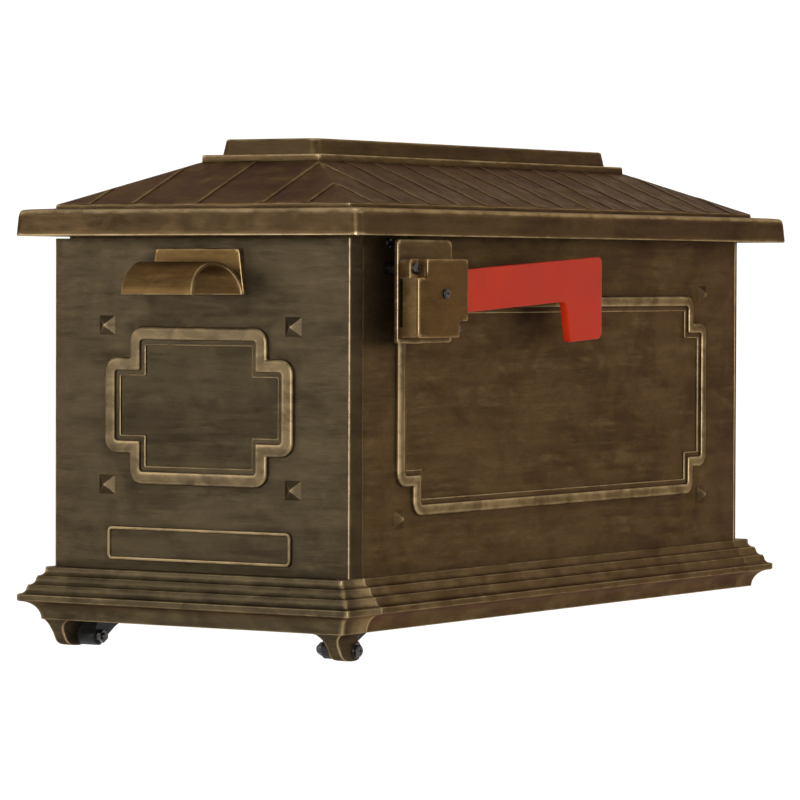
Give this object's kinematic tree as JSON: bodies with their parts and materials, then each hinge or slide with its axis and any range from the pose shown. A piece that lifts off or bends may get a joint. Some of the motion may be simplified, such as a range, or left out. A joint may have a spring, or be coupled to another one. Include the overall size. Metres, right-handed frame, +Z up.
{
  "type": "post-mount mailbox",
  "caption": "House-shaped cast mailbox with a hipped roof, a drop-down front door, a swinging side flag and a floor plate for a post.",
  "frame": {"origin": "centre of the four post bolt holes, on the underside of the floor plate", "axes": "+Z up, away from the post; -Y towards the door; +X towards the flag"},
  "size_m": [0.2926, 0.6283, 0.3473],
  "materials": {
    "bronze_finish": "cast aluminium with a hand-rubbed antique bronze coat, satin",
    "door_finish": "cast aluminium with a hand-rubbed antique bronze coat, satin",
    "gilt_finish": "cast aluminium with a lighter, more heavily rubbed bronze coat",
    "flag_red": "moulded plastic, semi-gloss red",
    "bare_aluminium": "mill finish plate",
    "steel": "stainless",
    "black_nylon": "moulded black nylon",
    "magnet": "ferrite magnet, unpolished"
  },
  "bodies": {
    "box": {"roof": "bronze_finish", "left_side_panel": "bronze_finish", "right_side_panel": "bronze_finish", "back_panel": "bronze_finish", "floor_plate": "bare_aluminium", "roof_screws": "steel", "back_panel_screws": "steel", "floor_screws": "steel", "left_hinge_block": "black_nylon", "right_hinge_block": "black_nylon", "hinge_block_screws": "steel", "hinge_screws": "steel", "hinge_washers": "steel", "hinge_nuts": "steel", "flag_spacers": "steel", "flag_back_plate": "bronze_finish", "flag_housing": "gilt_finish", "flag_housing_screws": "steel", "flag_housing_nuts": "steel", "flag_spring_washer": "steel", "flag_pivot_screw": "steel", "flag_pivot_nut": "steel", "catch_housing": "black_nylon", "catch_magnet": "magnet", "catch_screws": "steel"},
    "door": {"door_panel": "door_finish", "door_handle": "gilt_finish", "handle_screws": "steel", "strike_plate": "steel", "strike_screw": "steel"},
    "flag": {"flag": "flag_red"}
  },
  "joints": [
    {"name": "door_hinge", "type": "hinge", "parent": "box", "child": "door", "pos_m": [0, -0.254, -0.024], "axis": [1, 0, 0], "range_deg": [0, 95]},
    {"name": "flag_pivot", "type": "hinge", "parent": "box", "child": "flag", "pos_m": [0.1433, -0.1969, 0.2113], "axis": [1, 0, 0], "range_deg": [0, 87]}
  ]
}
